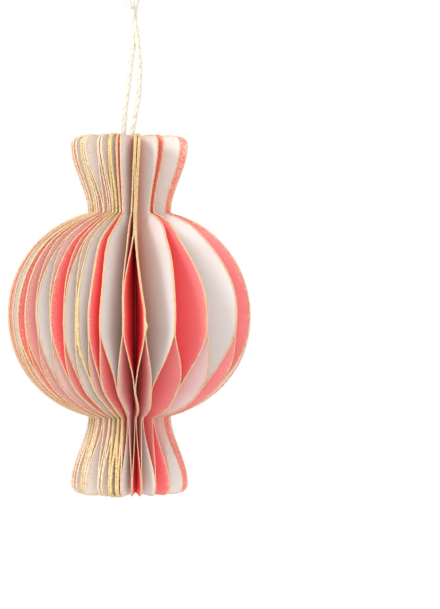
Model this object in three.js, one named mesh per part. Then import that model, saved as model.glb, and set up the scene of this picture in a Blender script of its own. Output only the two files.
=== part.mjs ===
// Hanging paper candy: folded card sheets glued side by side round an open core, with a knotted cord loop.
// Millimetres, +Z up, front seam towards -Y. The origin is the top of the cord loop, where a hook holds it.
import * as THREE from 'three';

// Driving dimensions of the candy, measured from its middle
const BODY_HEIGHT = 117;
const GLOBE_RADIUS = 40;
const NECK_RADIUS = 13.4;
const NECK_HEIGHT = 33.2;
const NECK_FILLET = 1.6;
const END_RADIUS = 19.1;
const END_CORNER = 3;

// Card, and the gaps that glue and fold take up
const CARD = 0.25;
const GLUE_GAP = 0.3;
const FOLD_GAP = 0.1;
const FOLD_SPACE = 0.22;

// Glue: a band round the globe, above and below its middle, and the spots below the upper neck,
// above the lower neck and inside each end
const BAND_ABOVE = 2;
const BAND_BELOW = 5.5;
const UPPER_SPOT = 6;
const LOWER_SPOT = 10;
const END_SPOT = 6;

// Cord loop and its knot
const CORD_DIAMETER = 1.7;
const LOOP_HEIGHT = 58;
const KNOT_DEPTH = 10;
const SEAT_GAP = 0.3;

// The fan of sheets from the front seam round to the right: card colour and how many degrees
// each sheet is opened at the widest point. The fan is looser on the right than on the left.
const FAN = [
  ['coral', 9.7], ['white', 14.6], ['coral', 17.4], ['white', 21.1], ['coral', 19.2],
  ['white', 20], ['coral', 20], ['white', 19], ['coral', 19], ['white', 18], ['coral', 17],
  ['white', 17], ['coral', 16], ['white', 15], ['coral', 14], ['white', 14], ['coral', 12.6],
  ['pink', 8.4], ['white', 6.9], ['coral', 7.5], ['pink', 9.2], ['white', 9], ['coral', 7.5],
  ['white', 6.5], ['white', 6.1], ['coral', 5.5], ['white', 9.8],
];
const FAN_START = -3.3;
const END_TWIST = 5;

// Degrees by which borders between sheets have moved, by the place in the fan of the sheet to their right:
// at both necks, growing by a share towards the ends, and at the upper neck and beyond
const NECK_SHIFTS = { 19: 2.6, 20: -0.2, 21: -4.3, 22: 1.4, 23: -1.4, 25: 0.4, 26: -0.4 };
const END_SHARE = 0.45;
const UPPER_SHIFTS = { 2: 2.5, 3: -8, 4: -5 };

// Above the globe the front seam narrows to a strip: how far right of the axis its left and right sides
// are at the upper neck and at the top, how sharply they bend on the way there and how late it closes
const STRIP_NECK = [0.78, 1.85];
const STRIP_TOP = [1.9, 3.1];
const STRIP_BEND = 1.6;
const STRIP_CLOSING = 3;

// Sheets, by their place in the fan, whose leaves are glued together below the upper neck too, and the
// degrees by which sheets lean where their leaves meet above the lower neck
const CLOSED_ABOVE = [0, 21, 23];
const LOW_LEANS = { 26: 1.3, 0: 1.9, 1: -0.7 };

// Heights that the glue sets. Neighbouring sheets are glued together round the globe and at both ends,
// and the two leaves of a sheet are glued to each other above the lower neck.
const HALF_HEIGHT = BODY_HEIGHT / 2;
const LOW_PINCH = LOWER_SPOT - NECK_HEIGHT;
const HIGH_PINCH = NECK_HEIGHT - UPPER_SPOT;
const END_GLUE = HALF_HEIGHT - END_SPOT;

const RADIAN = Math.PI / 180;
const ramp = (from, to, at) => Math.min(1, Math.max(0, (at - from) / (to - from)));
const smooth = (share) => share * share * (3 - 2 * share);

// The cut edge of a leaf: an arc round the globe, a flare above and below it, a fillet between them
// and a rounded corner at each end
const ARC_CENTRE =
  (GLOBE_RADIUS ** 2 - NECK_RADIUS ** 2 - NECK_HEIGHT ** 2) / (2 * (GLOBE_RADIUS - NECK_RADIUS));
const ARC_RADIUS = GLOBE_RADIUS - ARC_CENTRE;
const CORNER_START = HALF_HEIGHT - END_CORNER;

function edgeRadius(height) {
  const h = Math.abs(height);
  const globe = ARC_CENTRE + Math.sqrt(Math.max(0, ARC_RADIUS ** 2 - h ** 2));
  const flare = NECK_RADIUS + (END_RADIUS - NECK_RADIUS) * smooth(ramp(NECK_HEIGHT, CORNER_START, h));
  const fillet = Math.max(0, NECK_FILLET - Math.abs(globe - flare)) ** 2 / (4 * NECK_FILLET);
  const corner = END_CORNER - Math.sqrt(END_CORNER ** 2 - Math.max(0, h - CORNER_START) ** 2);
  return Math.max(globe, flare) + fillet - corner;
}

// Heights at which a sheet is shaped: each stretch starts at its height and is divided into its steps
const STRETCHES = [
  [-HALF_HEIGHT, 2], [-CORNER_START, 3], [-NECK_HEIGHT, 3], [LOW_PINCH, 3], [-BAND_BELOW, 2],
  [BAND_ABOVE, 4], [HIGH_PINCH, 2], [NECK_HEIGHT, 3], [CORNER_START, 2], [HALF_HEIGHT, 0],
];
const LEVELS = STRETCHES.flatMap(([from, steps], i) =>
  Array.from({ length: steps }, (_, k) => from + ((STRETCHES[i + 1][0] - from) * k) / steps),
).concat(HALF_HEIGHT);

// Where neighbouring sheets meet at the widest point, as angles from the front
const opened = FAN.reduce((sum, [, degrees]) => sum + degrees, 0);
const BORDERS = [FAN_START];
for (const [, degrees] of FAN) BORDERS.push(BORDERS.at(-1) + (degrees * 360) / opened);

// The folds stand evenly round the core, which is as narrow as they allow, turned so that the leaves lean
// as little as possible
const CORE_RADIUS = (FAN.length * (2 * CARD + FOLD_GAP + FOLD_SPACE)) / (2 * Math.PI);
const FOLD_STEP = 360 / FAN.length;
const leans = FAN.map((_, i) => (BORDERS[i] + BORDERS[i + 1]) / 2 - i * FOLD_STEP);
const FOLD_START = (Math.max(...leans) + Math.min(...leans)) / 2;

// How far a sheet is open at a height: 1 where it meets its neighbours, 0 where its leaves are glued together
function openness(sheet, height) {
  if (height < -BAND_BELOW)
    return Math.max(ramp(LOW_PINCH, -BAND_BELOW, height), ramp(-NECK_HEIGHT, -END_GLUE, height));
  if (!CLOSED_ABOVE.includes(sheet)) return 1;
  const closing = ramp(BAND_ABOVE, HIGH_PINCH, height);
  return 1 - Math.min(sheet === 0 ? closing ** STRIP_CLOSING : closing, ramp(END_GLUE, NECK_HEIGHT, height));
}

// The left side, 0, or right side, 1, of the front seam above the globe, as an angle
function stripAngle(side, height) {
  const start = edgeRadius(BAND_ABOVE) * Math.sin(BORDERS[side] * RADIAN);
  const up = ramp(BAND_ABOVE, NECK_HEIGHT, height);
  const near = side === 0 ? up ** STRIP_BEND : 1 - (1 - up) ** STRIP_BEND;
  const beyond = (STRIP_TOP[side] - STRIP_NECK[side]) * ramp(NECK_HEIGHT, HALF_HEIGHT, height);
  const across = start + (STRIP_NECK[side] - start) * near + beyond;
  return Math.asin(across / edgeRadius(height)) / RADIAN;
}

// The border between two sheets at a height. The ends are turned a little against the globe.
function borderAngle(border, height) {
  const place = border % FAN.length;
  const turns = (border - place) / FAN.length;
  if (place < 2 && height > BAND_ABOVE) return stripAngle(place, height) + turns * 360;
  const turned = END_TWIST * smooth(ramp(-LOW_PINCH, NECK_HEIGHT, Math.abs(height)));
  const upper = smooth(ramp(BAND_ABOVE, NECK_HEIGHT, height));
  const lower = smooth(ramp(-BAND_BELOW, -NECK_HEIGHT, height));
  const end = smooth(ramp(NECK_HEIGHT, CORNER_START, Math.abs(height)));
  const moved = (NECK_SHIFTS[place] ?? 0) * (upper + lower) * (1 + END_SHARE * end);
  return BORDERS[border] + turned + moved + (UPPER_SHIFTS[place] ?? 0) * upper;
}

// A sheet starts as a flat board, three fields wide: left leaf, fold and right leaf.
// Each corner then moves to its place round the core.
function foldedSheet(sheet) {
  const board = new THREE.BoxGeometry(3, 1, 1, 3, LEVELS.length - 1, 1);
  const corners = board.attributes.position;
  // Each facet of a leaf is split from the fold, low, to the cut edge, high, so that facing leaves bend alike
  const facets = board.index.array;
  for (let at = 0; at < facets.length; at += 6) {
    const [a, b, d, , c] = facets.subarray(at, at + 6);
    const across = corners.getX(a) + corners.getX(c);
    const through = corners.getZ(a) + corners.getZ(c);
    if (across * through < 0) facets.set([a, b, c, a, c, d], at);
  }
  const fold = (FOLD_START + sheet * FOLD_STEP) * RADIAN;
  for (let i = 0; i < corners.count; i++) {
    const height = LEVELS[Math.round((corners.getY(i) + 0.5) * (LEVELS.length - 1))];
    const side = Math.sign(corners.getX(i));
    const outside = corners.getZ(i) < 0;
    if (Math.abs(corners.getX(i)) < 1) {
      const out = outside ? CORE_RADIUS : CORE_RADIUS + CARD;
      const across = side * (outside ? CARD + FOLD_GAP / 2 : FOLD_GAP / 2);
      corners.setXYZ(
        i,
        out * Math.sin(fold) + across * Math.cos(fold),
        -out * Math.cos(fold) + across * Math.sin(fold),
        height,
      );
      continue;
    }
    const radius = edgeRadius(height);
    const left = borderAngle(sheet, height) * RADIAN;
    const right = borderAngle(sheet + 1, height) * RADIAN;
    const least = (GLUE_GAP + CARD) / 2 / radius;
    const play = Math.max(0, (right - left) / 2 - 2 * least);
    const shut = 1 - openness(sheet, height);
    const spread = least + play * (1 - shut);
    // Where the front seam closes above the globe, its right leaf stays put and the left one comes over
    const lean = shut * (height < 0 ? (LOW_LEANS[sheet] ?? 0) * RADIAN : sheet === 0 ? play : 0);
    const edge = (outside ? CARD : -CARD) / 2 / radius;
    const angle = (left + right) / 2 + lean + side * (spread + edge);
    corners.setXYZ(i, radius * Math.sin(angle), -radius * Math.cos(angle), height);
  }
  return board;
}

// The cord's route, as points beside the axis and above the candy's top: up from the knot, round the loop
// and back
const CORD_ROUTE = [
  [-1.0, 0.9, -KNOT_DEPTH], [-1.7, 0.8, -4], [-2.0, 0.7, 0], [-1.4, 0.8, 9], [-0.45, 0.9, 17],
  [0.55, 1.0, 25], [1.4, 1.1, 32], [1.7, 1.1, 38], [2.1, 0.9, 43.5], [3.7, 0.4, 48.5], [4.4, 0, 53],
  [3.1, 0, 56.6], [0, 0, LOOP_HEIGHT], [-3.1, 0, 56.6], [-4.4, 0, 53], [-2.9, -0.4, 48], [0.1, -0.9, 43],
  [1.8, -1.1, 37], [2.8, -1.0, 29.5], [3.3, -0.9, 21.5], [3.0, -0.8, 13.5], [1.8, -0.7, 7], [0.6, -0.7, 0],
  [0.5, -0.8, -4], [1.0, -0.9, -KNOT_DEPTH],
];
const CORD_STEPS = 48;
const TOP = -LOOP_HEIGHT;

function cordTube() {
  const route = new THREE.CatmullRomCurve3(CORD_ROUTE.map(([x, y, z]) => new THREE.Vector3(x, y, z)));
  const section = new THREE.Shape().absarc(0, 0, CORD_DIAMETER / 2, 0, 2 * Math.PI);
  return new THREE.ExtrudeGeometry(section, { extrudePath: route, steps: CORD_STEPS, curveSegments: 4 });
}

// Finishes
const FINISH = {
  coral: new THREE.MeshStandardMaterial({ color: 0xf4665f, roughness: 0.85, metalness: 0 }),
  white: new THREE.MeshStandardMaterial({ color: 0xf4f0ee, roughness: 0.85, metalness: 0 }),
  pink: new THREE.MeshStandardMaterial({ color: 0xf3b3ae, roughness: 0.85, metalness: 0 }),
  cord: new THREE.MeshStandardMaterial({ color: 0xf3e6c4, roughness: 0.6, metalness: 0 }),
};

const candy = new THREE.Group();
function add(name, geometry, finish, height) {
  const mesh = new THREE.Mesh(geometry, finish);
  mesh.name = name;
  mesh.position.z = height;
  candy.add(mesh);
}

FAN.forEach(([colour], sheet) => {
  const order = String(sheet + 1).padStart(2, '0');
  add(`${colour}_sheet_${order}`, foldedSheet(sheet), FINISH[colour], TOP - HALF_HEIGHT);
});

add('hanging_cord', cordTube(), FINISH.cord, TOP);

const KNOT_RADIUS = CORE_RADIUS - SEAT_GAP;
const knot = new THREE.SphereGeometry(KNOT_RADIUS, 12, 8).rotateX(Math.PI / 2);
add('cord_knot', knot, FINISH.cord, TOP - KNOT_DEPTH - KNOT_RADIUS - SEAT_GAP);

export default candy;
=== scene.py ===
import math

import bpy
import numpy as np
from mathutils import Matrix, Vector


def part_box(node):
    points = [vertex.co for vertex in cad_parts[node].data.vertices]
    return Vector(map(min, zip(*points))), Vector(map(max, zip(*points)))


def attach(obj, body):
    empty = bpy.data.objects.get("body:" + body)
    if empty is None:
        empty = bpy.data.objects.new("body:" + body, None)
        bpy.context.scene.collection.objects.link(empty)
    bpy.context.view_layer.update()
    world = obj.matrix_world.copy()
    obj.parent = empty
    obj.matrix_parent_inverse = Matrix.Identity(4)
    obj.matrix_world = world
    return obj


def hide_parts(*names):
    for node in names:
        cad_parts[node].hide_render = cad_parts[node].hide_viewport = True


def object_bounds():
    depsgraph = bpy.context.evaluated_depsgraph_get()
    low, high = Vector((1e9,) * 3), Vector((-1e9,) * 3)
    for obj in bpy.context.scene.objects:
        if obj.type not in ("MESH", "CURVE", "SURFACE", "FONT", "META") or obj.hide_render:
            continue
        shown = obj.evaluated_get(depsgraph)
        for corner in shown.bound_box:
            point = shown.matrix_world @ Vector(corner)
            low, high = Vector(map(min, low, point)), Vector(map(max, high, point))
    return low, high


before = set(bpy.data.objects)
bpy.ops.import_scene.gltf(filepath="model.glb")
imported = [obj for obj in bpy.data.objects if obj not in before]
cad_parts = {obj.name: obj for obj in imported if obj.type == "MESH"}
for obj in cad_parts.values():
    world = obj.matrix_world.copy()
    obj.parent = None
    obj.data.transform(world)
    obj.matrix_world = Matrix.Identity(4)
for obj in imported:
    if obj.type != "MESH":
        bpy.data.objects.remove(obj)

cad_low, cad_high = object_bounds()

# Card sheets: twenty-seven pieces of thin card, each folded once down the middle and cut to half the
# candy's outline. They stand round an open core with their folds inwards. Glue holds neighbouring leaves
# together round the globe and at both ends, and holds each sheet's own leaves together above the lower neck.
MM = 0.001
GLOBE_RADIUS = 40 * MM
NECK_RADIUS = 13.4 * MM
NECK_HEIGHT = 33.2 * MM
NECK_FILLET = 1.6 * MM
END_RADIUS = 19.1 * MM
END_CORNER = 3 * MM
CARD = 0.25 * MM
GLUE_FILM = 0.06 * MM
FOLD_GAP = 0.28 * MM
FOLD_SPACE = 0.04 * MM
BAND_ABOVE = 2 * MM
BAND_BELOW = 5.5 * MM
UPPER_SPOT = 6 * MM
LOWER_SPOT = 10 * MM
END_SPOT = 6 * MM

# How far each sheet is opened at the widest point, in degrees, from the front seam round to the right
FAN = [
    9.7, 14.6, 17.4, 21.1, 19.2, 20, 20, 19, 19, 18, 17, 17, 16, 15,
    14, 14, 12.6, 8.4, 6.9, 7.5, 9.2, 9, 7.5, 6.5, 6.1, 5.5, 9.8,
]
FAN_START = -3.3
END_TWIST = 5

# Degrees by which borders between sheets have moved, by the place in the fan of the sheet to their right:
# at both necks, growing by a share towards the ends, and at the upper neck and beyond
NECK_SHIFTS = {19: 2.6, 20: -0.2, 21: -4.3, 22: 1.4, 23: -1.4, 25: 0.4, 26: -0.4}
END_SHARE = 0.45
UPPER_SHIFTS = {2: 2.5, 3: -8, 4: -5}

# Above the globe the front seam narrows to a strip: how far right of the axis its left and right sides
# are at the upper neck and at the top, how sharply they bend on the way there and how late it closes
STRIP_NECK = (0.78 * MM, 1.85 * MM)
STRIP_TOP = (1.9 * MM, 3.1 * MM)
STRIP_BEND = 1.6
STRIP_CLOSING = 3

# Sheets, by their place in the fan, whose leaves are glued together below the upper neck too, and the
# degrees by which sheets lean where their leaves meet above the lower neck
CLOSED_ABOVE = (0, 21, 23)
LOW_LEANS = {26: 1.3, 0: 1.9, 1: -0.7}

# A sheet opened by less than this many degrees closes more gently below the globe
NARROW_SHEET = 9

sheet_names = sorted((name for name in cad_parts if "_sheet_" in name), key=lambda name: name[-2:])
sheet_low, sheet_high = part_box(sheet_names[0])
CANDY_TOP = sheet_high.z
HALF_HEIGHT = (sheet_high.z - sheet_low.z) / 2
MIDDLE = CANDY_TOP - HALF_HEIGHT
LOW_PINCH = LOWER_SPOT - NECK_HEIGHT
HIGH_PINCH = NECK_HEIGHT - UPPER_SPOT
END_GLUE = HALF_HEIGHT - END_SPOT
CORNER_START = HALF_HEIGHT - END_CORNER
ARC_CENTRE = (GLOBE_RADIUS**2 - NECK_RADIUS**2 - NECK_HEIGHT**2) / (2 * (GLOBE_RADIUS - NECK_RADIUS))
ARC_RADIUS = GLOBE_RADIUS - ARC_CENTRE
CORE_RADIUS = len(FAN) * (2 * CARD + FOLD_GAP + FOLD_SPACE) / (2 * math.pi)

borders = FAN_START + np.concatenate([[0], np.cumsum(FAN)]) * 360 / sum(FAN)
FOLD_STEP = 360 / len(FAN)
leans = (borders[:-1] + borders[1:]) / 2 - FOLD_STEP * np.arange(len(FAN))
FOLD_START = (leans.max() + leans.min()) / 2


def ramp(start, end, at):
    return np.clip((at - start) / (end - start), 0, 1)


def smooth(share):
    return share * share * (3 - 2 * share)


def eased(share):
    """Halfway between a straight ramp and a smooth one."""
    return (share + smooth(share)) / 2


def edge_radius(height):
    """How far a leaf's cut edge is from the axis: globe, flares, the fillet between them and end corners."""
    h = np.abs(height)
    globe = ARC_CENTRE + np.sqrt(np.maximum(ARC_RADIUS**2 - h**2, 0))
    flare = NECK_RADIUS + (END_RADIUS - NECK_RADIUS) * smooth(ramp(NECK_HEIGHT, CORNER_START, h))
    fillet = np.maximum(NECK_FILLET - np.abs(globe - flare), 0) ** 2 / (4 * NECK_FILLET)
    corner = END_CORNER - np.sqrt(np.maximum(END_CORNER**2 - np.maximum(h - CORNER_START, 0) ** 2, 0))
    return np.maximum(globe, flare) + fillet - corner


def openness(sheet, height):
    """1 where a sheet's leaves meet their neighbours, and 0 where they are glued to each other."""
    below = np.maximum(ramp(LOW_PINCH, -BAND_BELOW, height), ramp(-NECK_HEIGHT, -END_GLUE, height))
    below = smooth(below) if FAN[sheet] < NARROW_SHEET else eased(below)
    above = np.ones_like(height)
    if sheet in CLOSED_ABOVE:
        closing = ramp(BAND_ABOVE, HIGH_PINCH, height)
        closing = closing**STRIP_CLOSING if sheet == 0 else eased(closing)
        above = 1 - np.minimum(closing, eased(ramp(END_GLUE, NECK_HEIGHT, height)))
    return np.where(height < -BAND_BELOW, below, above)


def strip_angle(side, height):
    """The left side, 0, or right side, 1, of the front seam above the globe, as an angle in degrees."""
    start = edge_radius(BAND_ABOVE) * math.sin(math.radians(borders[side]))
    up = ramp(BAND_ABOVE, NECK_HEIGHT, height)
    near = up**STRIP_BEND if side == 0 else 1 - (1 - up) ** STRIP_BEND
    beyond = (STRIP_TOP[side] - STRIP_NECK[side]) * ramp(NECK_HEIGHT, HALF_HEIGHT, height)
    return np.degrees(np.arcsin((start + (STRIP_NECK[side] - start) * near + beyond) / edge_radius(height)))


def border_angle(border, height):
    """The angle in degrees at which two neighbouring sheets meet: the ends are turned a little."""
    place = border % len(FAN)
    turned = END_TWIST * smooth(ramp(-LOW_PINCH, NECK_HEIGHT, np.abs(height)))
    upper = smooth(ramp(BAND_ABOVE, NECK_HEIGHT, height))
    lower = smooth(ramp(-BAND_BELOW, -NECK_HEIGHT, height))
    end = smooth(ramp(NECK_HEIGHT, CORNER_START, np.abs(height)))
    moved = NECK_SHIFTS.get(place, 0) * (upper + lower) * (1 + END_SHARE * end)
    angle = borders[border] + turned + moved + UPPER_SHIFTS.get(place, 0) * upper
    if place > 1:
        return angle
    whole_turns = (border - place) / len(FAN) * 360
    return np.where(height > BAND_ABOVE, strip_angle(place, height) + whole_turns, angle)


# Hand work is a little uneven: the leaves wander by these angles, in waves round the candy and along it
UNEVEN = [(0.34, 5, 110, 1.3), (0.22, 9, -170, 0.4), (0.12, 14, 290, 2.2)]


def leaf_points(sheet, side, face, share, height):
    """Points on a leaf. side is -1 for the left leaf and 1 for the right, face is 1 outside the fold and
    -1 inside, share runs from the fold, 0, to the cut edge, 1, and height is from the candy's middle."""
    fold = math.radians(FOLD_START + sheet * FOLD_STEP)
    out = CORE_RADIUS + CARD * (1 - face) / 2
    across = side * (FOLD_GAP / 2 + CARD * (1 + face) / 2)
    fold_x = out * math.sin(fold) + across * math.cos(fold)
    fold_y = -out * math.cos(fold) + across * math.sin(fold)
    radius = edge_radius(height)
    left = np.radians(border_angle(sheet, height))
    right = np.radians(border_angle(sheet + 1, height))
    least = (GLUE_FILM + CARD) / 2 / radius
    play = np.maximum((right - left) / 2 - 2 * least, 0)
    shut = 1 - openness(sheet, height)
    spread = least + play * (1 - shut)
    lean = np.where(height < 0, math.radians(LOW_LEANS.get(sheet, 0)), play if sheet == 0 else 0) * shut
    angle = (left + right) / 2 + lean + side * (spread + face * CARD / 2 / radius)
    x = fold_x + (radius * np.sin(angle) - fold_x) * share
    y = fold_y + (-radius * np.cos(angle) - fold_y) * share
    turn = np.arctan2(x, -y)
    for degrees, waves, along, start in UNEVEN:
        turn = turn + math.radians(degrees) * np.sin(waves * turn + along * height + start)
    reach = np.hypot(x, y)
    z = MIDDLE + height + 0 * reach
    return np.stack([reach * np.sin(turn), -reach * np.cos(turn), z], axis=-1)


LEAF_STEPS = 9
CUT_ANGLE = 40
shares = 1 - np.linspace(1, 0, LEAF_STEPS + 1) ** 2
stretches = [
    (-HALF_HEIGHT, -CORNER_START, 7),
    (-CORNER_START, -NECK_HEIGHT - NECK_FILLET, 10),
    (-NECK_HEIGHT - NECK_FILLET, -NECK_HEIGHT + NECK_FILLET, 8),
    (-NECK_HEIGHT + NECK_FILLET, -BAND_BELOW, 16),
    (-BAND_BELOW, BAND_ABOVE, 5),
    (BAND_ABOVE, NECK_HEIGHT - NECK_FILLET, 16),
    (NECK_HEIGHT - NECK_FILLET, NECK_HEIGHT + NECK_FILLET, 8),
    (NECK_HEIGHT + NECK_FILLET, CORNER_START, 10),
    (CORNER_START, HALF_HEIGHT, 7),
]
levels = np.concatenate([np.linspace(low, high, steps, endpoint=False) for low, high, steps in stretches])
levels = np.append(levels, HALF_HEIGHT)


def grid_faces(rows, columns):
    """The faces of a closed slab of two grids, rows by columns, the first outside and the second inside."""
    outside = np.arange(rows * columns).reshape(rows, columns)
    inside = outside + rows * columns

    def quads(a, b, c, d):
        return np.stack([a, b, c, d], axis=-1).reshape(-1, 4)

    return np.concatenate([
        quads(outside[:-1, :-1], outside[:-1, 1:], outside[1:, 1:], outside[1:, :-1]),
        quads(inside[:-1, :-1], inside[1:, :-1], inside[1:, 1:], inside[:-1, 1:]),
        quads(outside[:-1, 0], outside[1:, 0], inside[1:, 0], inside[:-1, 0]),
        quads(outside[1:, -1], outside[:-1, -1], inside[:-1, -1], inside[1:, -1]),
        quads(outside[0, 1:], outside[0, :-1], inside[0, :-1], inside[0, 1:]),
        quads(outside[-1, :-1], outside[-1, 1:], inside[-1, 1:], inside[-1, :-1]),
    ])


def make_piece(name, points, faces, material, sharp_angle=180):
    """A smooth-shaded mesh object with one material, and sharp edges where it bends by over sharp_angle."""
    mesh = bpy.data.meshes.new(name)
    mesh.from_pydata(points.tolist(), [], faces)
    mesh.polygons.foreach_set("use_smooth", [True] * len(mesh.polygons))
    mesh.set_sharp_from_angle(angle=math.radians(sharp_angle))
    mesh.materials.append(material)
    piece = bpy.data.objects.new(name, mesh)
    bpy.context.collection.objects.link(piece)
    return piece


def node_group(name, inputs, outputs):
    """An empty shader group with its sockets, and its input and output nodes."""
    group = bpy.data.node_groups.new(name, "ShaderNodeTree")
    for socket, kind, value in inputs:
        made = group.interface.new_socket(socket, in_out="INPUT", socket_type=kind)
        made.default_value = value
    for socket, kind in outputs:
        group.interface.new_socket(socket, in_out="OUTPUT", socket_type=kind)
    return group, group.nodes.new("NodeGroupInput"), group.nodes.new("NodeGroupOutput")


def place(tree, kind, links=None, **settings):
    """Adds a node. settings are its properties, and links gives its inputs a socket or a value each."""
    node = tree.nodes.new(kind)
    for setting, value in settings.items():
        setattr(node, setting, value)
    for socket, value in (links or {}).items():
        if isinstance(value, bpy.types.NodeSocket):
            tree.links.new(value, node.inputs[socket])
        else:
            node.inputs[socket].default_value = value
    return node


# Paper fibre: fine fibres that catch the light and a faint cloudiness in the pulp
fibre, fibre_in, fibre_out = node_group(
    "paper_fibre",
    [("Colour", "NodeSocketColor", (1, 1, 1, 1)), ("Cloudiness", "NodeSocketFloat", 0.08)],
    [("Colour", "NodeSocketColor"), ("Roughness", "NodeSocketFloat"), ("Height", "NodeSocketFloat")],
)
where = place(fibre, "ShaderNodeTexCoord").outputs["Object"]
stretched = place(fibre, "ShaderNodeMapping", {"Vector": where, "Scale": (1, 1, 0.35)}).outputs["Vector"]
fine = place(
    fibre, "ShaderNodeTexNoise", {"Vector": stretched, "Scale": 3800, "Detail": 3, "Distortion": 1.2}
)
cloud = place(fibre, "ShaderNodeTexNoise", {"Vector": where, "Scale": 240, "Detail": 4, "Roughness": 0.6})
both = place(fibre, "ShaderNodeMath", {0: fine.outputs["Fac"], 1: cloud.outputs["Fac"]}, operation="ADD")
centred = place(fibre, "ShaderNodeMath", {0: both.outputs[0], 1: 1.0}, operation="SUBTRACT")
shade = place(
    fibre,
    "ShaderNodeMath",
    {0: centred.outputs[0], 1: fibre_in.outputs["Cloudiness"], 2: 1.0},
    operation="MULTIPLY_ADD",
)
tinted = place(
    fibre, "ShaderNodeVectorMath", {0: fibre_in.outputs["Colour"], 1: shade.outputs[0]}, operation="MULTIPLY"
)
rough = place(
    fibre, "ShaderNodeMapRange", {"Value": fine.outputs["Fac"], "To Min": 0.66, "To Max": 0.92}
)
fibre.links.new(tinted.outputs[0], fibre_out.inputs["Colour"])
fibre.links.new(rough.outputs[0], fibre_out.inputs["Roughness"])
fibre.links.new(fine.outputs["Fac"], fibre_out.inputs["Height"])

# Stray glitter: grains that fell from the edges and stuck to the card, thick by the edge and thin further in
stray, stray_in, stray_out = node_group(
    "stray_glitter",
    [("Amount", "NodeSocketFloat", 1.0)],
    [("Mask", "NodeSocketFloat"), ("Colour", "NodeSocketColor")],
)
where = place(stray, "ShaderNodeTexCoord").outputs["Object"]
grains = place(stray, "ShaderNodeTexVoronoi", {"Vector": where, "Scale": 3600})
picked = place(stray, "ShaderNodeSeparateColor", {"Color": grains.outputs["Color"]})
dusting = place(stray, "ShaderNodeAttribute", attribute_name="dusting").outputs["Fac"]
amount = place(stray, "ShaderNodeMath", {0: dusting, 1: stray_in.outputs["Amount"]}, operation="MULTIPLY")
stuck = place(
    stray, "ShaderNodeMath", {0: picked.outputs["Red"], 1: amount.outputs[0]}, operation="LESS_THAN"
)
grain_colour = place(stray, "ShaderNodeValToRGB", {"Fac": picked.outputs["Green"]})
grain_colour.color_ramp.elements[0].color = (0.84, 0.62, 0.32, 1)
grain_colour.color_ramp.elements[1].color = (0.96, 0.88, 0.70, 1)
stray.links.new(stuck.outputs[0], stray_out.inputs["Mask"])
stray.links.new(grain_colour.outputs["Color"], stray_out.inputs["Colour"])

# Card colours by the cut edge, and painted shade and painted light deep in the folds: the colour darkens
# towards the fold and warms as if lit through the coral card behind
CARD_COLOURS = {
    "coral": (0.98, 0.315, 0.32, 1),
    "white": (0.86, 0.81, 0.79, 1),
    "pink": (0.91, 0.48, 0.46, 1),
}
FOLD_SHADE_COLOURS = {
    "coral": (0.94, 0.24, 0.265, 1),
    "white": (0.90, 0.69, 0.60, 1),
    "pink": (0.92, 0.40, 0.38, 1),
}
FOLD_SHADE_POWER = 1.8


def card_material(colour):
    material = bpy.data.materials.new(colour + "_card")
    material.use_nodes = True
    tree = material.node_tree
    card = tree.nodes["Principled BSDF"]
    paper = place(tree, "ShaderNodeGroup", node_tree=fibre)
    # Painted shade: towards the fold the card's colour turns to its darker, warmer fold shade colour
    fold_shade = place(tree, "ShaderNodeAttribute", attribute_name="fold_shade").outputs["Fac"]
    shaded_card = place(
        tree,
        "ShaderNodeMix",
        {"Factor": fold_shade, 6: CARD_COLOURS[colour], 7: FOLD_SHADE_COLOURS[colour]},
        data_type="RGBA",
    )
    tree.links.new(shaded_card.outputs[2], paper.inputs["Colour"])
    paper.inputs["Cloudiness"].default_value = 0.07
    glitter = place(tree, "ShaderNodeGroup", node_tree=stray)
    glitter.inputs["Amount"].default_value = 1.0
    mixed = place(
        tree,
        "ShaderNodeMix",
        {"Factor": glitter.outputs["Mask"], 6: paper.outputs["Colour"], 7: glitter.outputs["Colour"]},
        data_type="RGBA",
    )
    shine = place(
        tree,
        "ShaderNodeMix",
        {"Factor": glitter.outputs["Mask"], 2: paper.outputs["Roughness"], 3: 0.35},
    )
    bump = place(
        tree,
        "ShaderNodeBump",
        {"Height": paper.outputs["Height"], "Strength": 0.25, "Distance": 0.06 * MM},
    )
    tree.links.new(mixed.outputs[2], card.inputs["Base Color"])
    tree.links.new(shine.outputs[0], card.inputs["Roughness"])
    tree.links.new(bump.outputs["Normal"], card.inputs["Normal"])
    card.inputs["Specular IOR Level"].default_value = 0.25
    return material


card_materials = {colour: card_material(colour) for colour in CARD_COLOURS}

# Stray glitter lies within a millimetre of a cut edge. More of it stuck on the left, where the fan was
# closed, most of all round the two necks there, and on the flares, where it shows on the darker card.
EDGE_DUST = 0.28
EDGE_DUST_REACH = 0.5 * MM
FRONT_SHEETS = (26, 0, 1)
CLOSING_SHEETS = range(14, 26)
CLOSING_DUST = 0.5
CLOSING_DUST_REACH = 0.9 * MM
NECK_DUST = 0.45
NECK_DUST_REACH = 4 * MM
NECK_DUST_DEPTH = 3.6 * MM
FLARE_DUST = {"white": 0.1, "coral": 0.3, "pink": 0.3}


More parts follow.
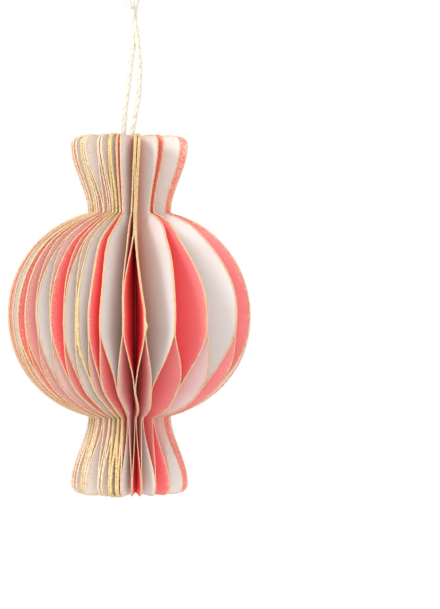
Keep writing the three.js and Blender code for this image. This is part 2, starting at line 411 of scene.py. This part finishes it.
def dusting_on(sheet, share, height):
    """The share of a leaf that stray glitter covers, from 0 to 1."""
    inwards = (1 - share) * (edge_radius(height) - CORE_RADIUS)
    to_edge = np.minimum(inwards, HALF_HEIGHT - np.abs(height))
    at_edge = EDGE_DUST * np.exp(-to_edge / EDGE_DUST_REACH)
    if sheet in FRONT_SHEETS:
        return at_edge
    flare_dust = FLARE_DUST[sheet_names[sheet].split("_")[0]]
    if sheet not in CLOSING_SHEETS:
        return at_edge + flare_dust * smooth(ramp(NECK_HEIGHT, NECK_HEIGHT + NECK_DUST_REACH, height))
    from_neck = (np.abs(height) - NECK_HEIGHT) / NECK_DUST_REACH
    at_neck = NECK_DUST * np.exp(-(from_neck**2) - inwards / NECK_DUST_DEPTH)
    on_flare = flare_dust * smooth(ramp(NECK_HEIGHT, NECK_HEIGHT + NECK_DUST_REACH, np.abs(height)))
    return np.clip(CLOSING_DUST * np.exp(-to_edge / CLOSING_DUST_REACH) + at_neck + on_flare, 0, 1)


def set_attribute(piece, name, values):
    """Gives each point of a piece a value that its material reads."""
    piece.data.attributes.new(name, "FLOAT", "POINT").data.foreach_set("value", values)


for sheet, name in enumerate(sheet_names):
    colour = name.split("_")[0]
    height = levels[:, None]
    leaves = [(-1, shares[None, ::-1]), (1, shares[None, :])]
    outside = np.concatenate([leaf_points(sheet, side, 1, share, height) for side, share in leaves], axis=1)
    inside = np.concatenate([leaf_points(sheet, side, -1, share, height) for side, share in leaves], axis=1)
    dusting = np.concatenate([dusting_on(sheet, share, height) for _, share in leaves], axis=1)
    rows, columns = outside.shape[:2]
    points = np.concatenate([outside.reshape(-1, 3), inside.reshape(-1, 3)])
    faces = grid_faces(rows, columns).tolist()
    card = make_piece("card_" + name, points, faces, card_materials[colour], CUT_ANGLE)
    # Painted shade: 1 at the fold, fading to 0 at the cut edge
    fold_shade = np.concatenate([(1 - share) ** FOLD_SHADE_POWER + 0 * height for _, share in leaves], axis=1)
    set_attribute(card, "dusting", np.tile(dusting.ravel(), 2))
    set_attribute(card, "fold_shade", np.tile(fold_shade.ravel(), 2))
    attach(card, "root")
    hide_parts(name)

# Glitter edges: gold grains set in a bead of glue along the cut edge of both leaves of every sheet.
# The bead is a little wider than the card. On the left flares its grains are painted pale as highlight where
# strong light falls, and it is thickest at the seam where the fan was closed and up the front seam's strip.
# One lump of grains stands beside that seam.
BEAD_ACROSS = 0.24 * MM
BEAD_OUT = 0.3 * MM
BEAD_LIFT = 0.06 * MM
BEAD_STEP = 0.45 * MM
BEAD_SIDES = 8
END_STEPS = 23
BEAD_ROUGH = 0.16
GRAIN_LEAST, GRAIN_MOST = 0.6, 1.5
BEAD_START = 0.16
THICK_LEAN = 0.22 * MM

# Bead thickness round the globe, on the upper flare and on the lower one, as shares of the sizes above: for
# plain edges, for the edges on the left, whose flares are painted pale as highlight, and for edges, as a
# sheet's place in the fan and its side, that are thick with gold
PLAIN_BEAD = (0.85, 0.55, 0.55)
LEFT_HIGHLIT_BEAD = (0.85, 1.0, 1.0)
# Share of the grains on the left flares painted pale cream, a painted highlight
PAINTED_HIGHLIGHT_SHARE = 0.6
GOLD_BEADS = {
    (23, 1): (0.9, 1.5, 1.8), (24, -1): (1.1, 1.8, 1.8), (24, 1): (0.85, 0.8, 1.7),
    (25, -1): (0.85, 0.8, 1.7), (18, 1): (1.1, 1.3, 1.3), (19, -1): (1.1, 1.3, 1.3),
}

# Swellings of the bead, by sheet and side: the height of their middle, their length and how much thicker
SWELLINGS = {
    (1, -1): (-3 * MM, 1.1 * MM, 1.5), (24, -1): (-4 * MM, 10 * MM, 1.2), (23, 1): (-4 * MM, 10 * MM, 0.5),
}
STRIP_EDGES = {(26, 1), (0, -1), (0, 1), (1, -1)}
STRIP_BEAD = 1.2
BEAD_CHANGE = 3 * MM
STRIP_START = 16 * MM
grain_draws = np.random.default_rng(27)


def along(points, step):
    """Evenly spaced stations on a line of points, as the numbers of its points with fractions."""
    lengths = np.linalg.norm(np.diff(points, axis=0), axis=1)
    run = np.concatenate([[0], np.cumsum(lengths)])
    count = int(round(run[-1] / step))
    return np.interp(np.linspace(0, run[-1], count + 1), run, np.arange(len(points)))


def read_at(values, stations):
    """Values at fractional places in a list."""
    whole = np.minimum(stations.astype(int), len(values) - 2)
    part = stations - whole
    if values.ndim > 1:
        part = part[:, None]
    return values[whole] * (1 - part) + values[whole + 1] * part


def unit(vectors):
    return vectors / np.linalg.norm(vectors, axis=-1, keepdims=True)


def tube_faces(rings, sides):
    """The faces of a tube of rings, with a flat cap at each end, as lists of point numbers."""
    ring = np.arange(rings * sides).reshape(rings, sides)
    near, far = ring[:-1], ring[1:]
    walls = np.stack([near, np.roll(near, -1, 1), np.roll(far, -1, 1), far], axis=-1).reshape(-1, 4).tolist()
    return walls + [ring[0, ::-1].tolist(), ring[-1].tolist()]


def joined(parts):
    """Several (points, faces) as one."""
    points, faces, count = [], [], 0
    for part_points, part_faces in parts:
        points.append(part_points)
        faces.extend([corner + count for corner in face] for face in part_faces)
        count += len(part_points)
    return np.concatenate(points), faces


def bead_size(sheet, side, height):
    """How thick the bead on a leaf is at each height, where 1 is the plain bead round the globe, and the
    share of its grains that are painted pale as highlight."""
    plain = LEFT_HIGHLIT_BEAD if sheet in CLOSING_SHEETS else PLAIN_BEAD
    globe_size, upper_size, lower_size = GOLD_BEADS.get((sheet, side), plain)
    on_flare = smooth(ramp(NECK_HEIGHT - BEAD_CHANGE, NECK_HEIGHT + BEAD_CHANGE, np.abs(height)))
    size = globe_size + (np.where(height > 0, upper_size, lower_size) - globe_size) * on_flare
    if (sheet, side) in STRIP_EDGES:
        up_strip = smooth(ramp(STRIP_START, NECK_HEIGHT, height))
        size = size + (STRIP_BEAD - size) * up_strip
    if (sheet, side) in SWELLINGS:
        middle, length, more = SWELLINGS[sheet, side]
        size = size + more * np.exp(-(((height - middle) / length) ** 2))
    # Painted highlight: the left flares' grains are painted pale where strong light from the upper left falls
    highlight_pale = plain is LEFT_HIGHLIT_BEAD and (sheet, side) not in GOLD_BEADS
    return size, PAINTED_HIGHLIGHT_SHARE * highlight_pale * on_flare


def edge_bead(sheet, side):
    """The glitter bead along one leaf's cut edge, from top to bottom fold: its points, its faces, and how
    thick it is and how much of it is painted pale as highlight at each point."""
    out_along_end = np.linspace(BEAD_START, 1, END_STEPS, endpoint=False)
    end_height = np.full(END_STEPS, HALF_HEIGHT)
    share = np.concatenate([out_along_end, np.ones(len(levels)), out_along_end[::-1]])
    height = np.concatenate([end_height, levels[::-1], -end_height])
    line = leaf_points(sheet, side, 0, share, height)
    through = leaf_points(sheet, side, 1, share, height) - leaf_points(sheet, side, -1, share, height)
    stations = along(line, BEAD_STEP)
    line, through, height = (read_at(values, stations) for values in (line, through, height))
    ahead = unit(np.gradient(line, axis=0))
    through = unit(through)
    outwards = unit(np.cross(through, ahead)) * side
    size, highlight_pale = bead_size(sheet, side, height)
    lean = -THICK_LEAN * np.maximum(size - 1, 0)
    turns = np.linspace(0, 2 * math.pi, BEAD_SIDES, endpoint=False)
    grain = 1 + BEAD_ROUGH * grain_draws.standard_normal((len(line), BEAD_SIDES))
    grain = np.clip(grain, GRAIN_LEAST, GRAIN_MOST) * size[:, None]
    sideways = BEAD_ACROSS * np.cos(turns) * grain + lean[:, None]
    out = BEAD_OUT * np.sin(turns) * grain + BEAD_LIFT
    ring = line[:, None, :] + sideways[..., None] * through[:, None, :]
    ring = ring + out[..., None] * outwards[:, None, :]
    looks = [np.repeat(value, BEAD_SIDES) for value in (size, highlight_pale)]
    return ring.reshape(-1, 3), tube_faces(len(line), BEAD_SIDES), *looks


# Glitter: flakes a fifth of a millimetre across that lie at all angles, each its own shade of gold. A thin
# bead is peach where the card shows through its glue, and a thick one yellow.
flakes, flakes_in, flakes_out = node_group(
    "glitter_flakes",
    [("Flake scale", "NodeSocketFloat", 4500.0), ("Tilt", "NodeSocketFloat", 0.8)],
    [("Colour", "NodeSocketColor"), ("Roughness", "NodeSocketFloat"), ("Normal", "NodeSocketVector")],
)
where = place(flakes, "ShaderNodeTexCoord").outputs["Object"]
flake = place(flakes, "ShaderNodeTexVoronoi", {"Vector": where, "Scale": flakes_in.outputs["Flake scale"]})
picked = place(flakes, "ShaderNodeSeparateColor", {"Color": flake.outputs["Color"]})
thin = place(flakes, "ShaderNodeValToRGB", {"Fac": picked.outputs["Red"]})
thin.color_ramp.elements[0].color = (0.84, 0.47, 0.24, 1)
thin.color_ramp.elements[1].color = (0.96, 0.71, 0.47, 1)
thick = place(flakes, "ShaderNodeValToRGB", {"Fac": picked.outputs["Red"]})
thick.color_ramp.elements[0].color = (0.78, 0.50, 0.18, 1)
thick.color_ramp.elements[1].color = (0.97, 0.82, 0.48, 1)
# Painted highlight: pale cream grain colours for the brightly lit left flares
highlight_pale = place(flakes, "ShaderNodeValToRGB", {"Fac": picked.outputs["Red"]})
highlight_pale.color_ramp.elements[0].color = (0.92, 0.76, 0.56, 1)
highlight_pale.color_ramp.elements[1].color = (0.98, 0.92, 0.80, 1)
painted_highlight = place(flakes, "ShaderNodeAttribute", attribute_name="painted_highlight").outputs["Fac"]
thickness = place(flakes, "ShaderNodeAttribute", attribute_name="thickness").outputs["Fac"]
how_thick = place(flakes, "ShaderNodeMapRange", {"Value": thickness, "From Min": 0.9, "From Max": 1.3})
gold = place(
    flakes,
    "ShaderNodeMix",
    {"Factor": how_thick.outputs[0], 6: thin.outputs["Color"], 7: thick.outputs["Color"]},
    data_type="RGBA",
)
grains = place(
    flakes,
    "ShaderNodeMix",
    {"Factor": painted_highlight, 6: gold.outputs[2], 7: highlight_pale.outputs["Color"]},
    data_type="RGBA",
)
gleam = place(
    flakes, "ShaderNodeMapRange", {"Value": picked.outputs["Green"], "To Min": 0.25, "To Max": 0.55}
)
off = place(
    flakes, "ShaderNodeVectorMath", {0: flake.outputs["Color"], 1: (0.5, 0.5, 0.5)}, operation="SUBTRACT"
)
tilted = place(
    flakes, "ShaderNodeVectorMath", {0: off.outputs[0], "Scale": flakes_in.outputs["Tilt"]}, operation="SCALE"
)
facing = place(flakes, "ShaderNodeNewGeometry").outputs["Normal"]
summed = place(flakes, "ShaderNodeVectorMath", {0: facing, 1: tilted.outputs[0]}, operation="ADD")
level = place(flakes, "ShaderNodeVectorMath", {0: summed.outputs[0]}, operation="NORMALIZE")
flakes.links.new(grains.outputs[2], flakes_out.inputs["Colour"])
flakes.links.new(gleam.outputs[0], flakes_out.inputs["Roughness"])
flakes.links.new(level.outputs[0], flakes_out.inputs["Normal"])

glitter_material = bpy.data.materials.new("gold_glitter")
glitter_material.use_nodes = True
tree = glitter_material.node_tree
glitter = place(tree, "ShaderNodeGroup", node_tree=flakes)
glitter.inputs["Flake scale"].default_value = 4500
glitter.inputs["Tilt"].default_value = 0.9
bead = tree.nodes["Principled BSDF"]
for socket, output in (("Base Color", "Colour"), ("Roughness", "Roughness"), ("Normal", "Normal")):
    tree.links.new(glitter.outputs[output], bead.inputs[socket])
bead.inputs["Metallic"].default_value = 0.2

for sheet, name in enumerate(sheet_names):
    beads = [edge_bead(sheet, side) for side in (-1, 1)]
    points, faces = joined([bead[:2] for bead in beads])
    edge = make_piece("glitter_edge_" + name[-2:], points, faces, glitter_material)
    set_attribute(edge, "thickness", np.concatenate([bead[2] for bead in beads]))
    # Painted highlight: how pale each point of the bead is painted
    set_attribute(edge, "painted_highlight", np.concatenate([bead[3] for bead in beads]))
    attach(edge, "root")

# Hanging cord: one length of soft cream yarn, doubled into a loop. Two plies are twisted round each other
# with a fine thread wound round them. Both ends go down the tunnel between the folds and are tied there.
CORD_DIAMETER = 1.7 * MM
CORD_ROUTE = [
    (-1.0, 0.9, -10), (-1.7, 0.8, -4), (-2.0, 0.7, 0), (-1.4, 0.8, 9), (-0.45, 0.9, 17),
    (0.55, 1.0, 25), (1.4, 1.1, 32), (1.7, 1.1, 38), (2.1, 0.9, 43.5), (3.7, 0.4, 48.5), (4.4, 0, 53),
    (3.1, 0, 56.6), (0, 0, 58), (-3.1, 0, 56.6), (-4.4, 0, 53), (-2.9, -0.4, 48), (0.1, -0.9, 43),
    (1.8, -1.1, 37), (2.8, -1.0, 29.5), (3.3, -0.9, 21.5), (3.0, -0.8, 13.5), (1.8, -0.7, 7),
    (0.6, -0.7, 0), (0.5, -0.8, -4), (1.0, -0.9, -10),
]
CORD_STEP = 0.3 * MM
PLY_RADIUS = 0.56 * MM
PLY_LAY = 0.3 * MM
PLY_PITCH = 6.5 * MM
PLY_SIDES = 10
THREAD_RADIUS = 0.12 * MM
THREAD_LAY = 0.76 * MM
THREAD_PITCH = 3.9 * MM
THREAD_START = 1.0
THREAD_SIDES = 6
YARN_FUZZ = 0.06
CURVE_STEPS = 24
START_BESIDE = (0.3, 1.0, 0.2)


def curve_through(points, steps):
    """A smooth open line through points, steps to each stretch."""
    padded = np.concatenate([[2 * points[0] - points[1]], points, [2 * points[-1] - points[-2]]])
    t = np.linspace(0, 1, steps, endpoint=False)[:, None]
    line = []
    for a, b, c, d in zip(padded, padded[1:], padded[2:], padded[3:]):
        bend = (2 * a - 5 * b + 4 * c - d) * t**2 + (3 * b - a - 3 * c + d) * t**3
        line.append(0.5 * (2 * b + (c - a) * t + bend))
    return np.concatenate([*line, points[-1:]])


def frames_along(line):
    """Two directions across a line at each of its points, which turn as little as they can along it."""
    ahead = unit(np.gradient(line, axis=0))
    across = [unit(np.cross(ahead[0], START_BESIDE))]
    for direction in ahead[1:]:
        across.append(unit(across[-1] - direction * np.dot(across[-1], direction)))
    across = np.array(across)
    return across, np.cross(ahead, across)


def strand(line, radius, sides):
    """The points and faces of a round strand along a line. radius is one number, or one for each point."""
    across, up = frames_along(line)
    turns = np.linspace(0, 2 * math.pi, sides, endpoint=False)
    spokes = across[:, None] * np.cos(turns)[None, :, None] + up[:, None] * np.sin(turns)[None, :, None]
    radius = np.broadcast_to(radius, len(line))
    points = line[:, None] + spokes * radius[:, None, None]
    return points.reshape(-1, 3), tube_faces(len(line), sides)


def twisted(line, lay, pitch, start):
    """A line that winds round another, lay away from it, one turn to each pitch."""
    across, up = frames_along(line)
    run = np.concatenate([[0], np.cumsum(np.linalg.norm(np.diff(line, axis=0), axis=1))])
    turn = (start + 2 * math.pi * run / pitch)[:, None]
    return line + lay * (across * np.cos(turn) + up * np.sin(turn))


def yarn_material(name, colour, glow):
    material = bpy.data.materials.new(name)
    material.use_nodes = True
    tree = material.node_tree
    yarn = tree.nodes["Principled BSDF"]
    paper = place(tree, "ShaderNodeGroup", node_tree=fibre)
    paper.inputs["Colour"].default_value = colour
    paper.inputs["Cloudiness"].default_value = 0.3
    bump = place(
        tree,
        "ShaderNodeBump",
        {"Height": paper.outputs["Height"], "Strength": 0.6, "Distance": 0.1 * MM},
    )
    tree.links.new(paper.outputs["Colour"], yarn.inputs["Base Color"])
    tree.links.new(paper.outputs["Roughness"], yarn.inputs["Roughness"])
    tree.links.new(bump.outputs["Normal"], yarn.inputs["Normal"])
    yarn.inputs["Sheen Weight"].default_value = glow
    return material


cord_material = yarn_material("cream_yarn", (0.87, 0.83, 0.71, 1), 0.2)
lift = np.array([0, 0, CANDY_TOP / MM])
route = (np.array(CORD_ROUTE) + lift) * MM
cord_line = curve_through(route, CURVE_STEPS)
cord_line = read_at(cord_line, along(cord_line, CORD_STEP))
yarn_draws = np.random.default_rng(5)
plies = []
for start in (0, math.pi):
    fuzz = PLY_RADIUS * (1 + YARN_FUZZ * yarn_draws.standard_normal(len(cord_line)))
    plies.append(strand(twisted(cord_line, PLY_LAY, PLY_PITCH, start), fuzz, PLY_SIDES))
thread_line = twisted(cord_line, THREAD_LAY, THREAD_PITCH, THREAD_START)
plies.append(strand(thread_line, THREAD_RADIUS, THREAD_SIDES))
points, faces = joined(plies)
cord = make_piece("cream_cord", points, faces, cord_material)
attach(cord, "root")
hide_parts("hanging_cord")

# Cord knot: the cord's two ends tied in an overhand knot, hidden in the tunnel between the folds.
# It all but fills the tunnel, where the folds hold it.
knot_low, knot_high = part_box("cord_knot")
knot_centre = np.array((knot_low + knot_high) / 2)
KNOT_REACH = (knot_high.x - knot_low.x) / 2 - CORD_DIAMETER / 2
KNOT_STEPS = 160
KNOT_TALL = 1.6
TREFOIL_REACH = 3
turns = np.linspace(0, 2 * math.pi, KNOT_STEPS + 1)
trefoil_x = np.sin(turns) + 2 * np.sin(2 * turns)
trefoil_y = np.cos(turns) - 2 * np.cos(2 * turns)
trefoil = np.stack([trefoil_x, trefoil_y, -KNOT_TALL * np.sin(3 * turns)], axis=-1)
knot_line = knot_centre + trefoil * KNOT_REACH / TREFOIL_REACH
points, faces = joined([
    strand(twisted(knot_line, PLY_LAY, PLY_PITCH, start), PLY_RADIUS, PLY_SIDES) for start in (0, math.pi)
])
knot = make_piece("tied_knot", points, faces, cord_material)
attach(knot, "root")
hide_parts("cord_knot")

# Studio: a pale floor well below the hanging candy, a white surround and soft lamps in front.
# The camera stands level with the candy, which hangs left of the middle of its frame.
FLOOR_DROP = 130 * MM
FLOOR_RADIUS = 0.55
FLOOR_SIDES = 96
floor_mesh = bpy.data.meshes.new("studio_floor")
rim = np.linspace(0, 2 * math.pi, FLOOR_SIDES, endpoint=False)
floor_level = np.full(FLOOR_SIDES, float(cad_low.z) - FLOOR_DROP)
floor_points = np.stack([FLOOR_RADIUS * np.cos(rim), FLOOR_RADIUS * np.sin(rim), floor_level], axis=-1)
floor_mesh.from_pydata(floor_points.tolist(), [], [list(range(FLOOR_SIDES))])
floor_material = bpy.data.materials.new("studio_floor")
floor_material.use_nodes = True
tree = floor_material.node_tree
floor_shader = tree.nodes["Principled BSDF"]
where = place(tree, "ShaderNodeTexCoord").outputs["Object"]
mottle = place(tree, "ShaderNodeTexNoise", {"Vector": where, "Scale": 6, "Detail": 2})
floor_colour = place(tree, "ShaderNodeValToRGB", {"Fac": mottle.outputs["Fac"]})
floor_colour.color_ramp.elements[0].color = (0.93, 0.93, 0.93, 1)
floor_colour.color_ramp.elements[1].color = (0.96, 0.96, 0.96, 1)
tree.links.new(floor_colour.outputs["Color"], floor_shader.inputs["Base Color"])
floor_shader.inputs["Roughness"].default_value = 0.9
floor_mesh.materials.append(floor_material)
floor = bpy.data.objects.new("studio_floor", floor_mesh)
bpy.context.collection.objects.link(floor)

SURROUND_LIGHT = 0.74
world = bpy.data.worlds.new("white_surround")
bpy.context.scene.world = world
world.use_nodes = True
tree = world.node_tree
lit_by = tree.nodes["Background"]
lit_by.inputs["Color"].default_value = (1, 1, 1, 1)
lit_by.inputs["Strength"].default_value = SURROUND_LIGHT
seen = place(tree, "ShaderNodeBackground", {"Color": (1, 1, 1, 1), "Strength": 1.0})
rays = place(tree, "ShaderNodeLightPath")
direct = place(
    tree,
    "ShaderNodeMath",
    {0: rays.outputs["Is Camera Ray"], 1: rays.outputs["Is Glossy Ray"]},
    operation="MAXIMUM",
)
shown = place(
    tree,
    "ShaderNodeMath",
    {0: direct.outputs[0], 1: rays.outputs["Is Transmission Ray"]},
    operation="MAXIMUM",
)
either = place(
    tree,
    "ShaderNodeMixShader",
    {0: shown.outputs[0], 1: lit_by.outputs["Background"], 2: seen.outputs["Background"]},
)
tree.links.new(either.outputs["Shader"], tree.nodes["World Output"].inputs["Surface"])

# Lamps: name, degrees from the front to the right, degrees up, distance and size in metres, watts
LAMPS = [
    ("key_lamp", -50, 40, 0.9, 0.35, 3.6),
    ("front_lamp", 12, 5, 1.0, 0.8, 2.3),
]
candy_middle = np.array([0, 0, MIDDLE])
for name, azimuth, rise, distance, size, power in LAMPS:
    a, e = math.radians(azimuth), math.radians(rise)
    from_candy = np.array([math.sin(a) * math.cos(e), -math.cos(a) * math.cos(e), math.sin(e)])
    light = bpy.data.lights.new(name, "AREA")
    light.shape = "DISK"
    light.size = size
    light.energy = power
    lamp = bpy.data.objects.new(name, light)
    lamp.location = candy_middle + distance * from_candy
    lamp.rotation_euler = (math.radians(90 - rise), 0, a)
    bpy.context.collection.objects.link(lamp)

FRAME_WIDTH, FRAME_HEIGHT = 440, 609
CANDY_PIXEL = (129.7, 314.5)
CANDY_PIXELS_TALL = 355
CAMERA_DISTANCE = 0.85
CAMERA_RISE = 1.0
SENSOR = 36
pixel = 2 * HALF_HEIGHT / CANDY_PIXELS_TALL / CAMERA_DISTANCE
camera_data = bpy.data.cameras.new("camera")
camera_data.sensor_width = SENSOR
camera_data.lens = SENSOR / (FRAME_HEIGHT * pixel)
camera = bpy.data.objects.new("camera", camera_data)
rise = math.radians(CAMERA_RISE)
camera.location = (0, -CAMERA_DISTANCE * math.cos(rise), MIDDLE + CAMERA_DISTANCE * math.sin(rise))
look_right = math.atan((FRAME_WIDTH / 2 - CANDY_PIXEL[0]) * pixel)
look_up = math.atan((CANDY_PIXEL[1] - FRAME_HEIGHT / 2) * pixel) - rise
camera.rotation_euler = (math.radians(90) + look_up, 0, -look_right)
bpy.context.collection.objects.link(camera)
bpy.context.scene.camera = camera
bpy.context.scene.view_settings.view_transform = "Standard"
bpy.context.scene.cycles.diffuse_bounces = 12
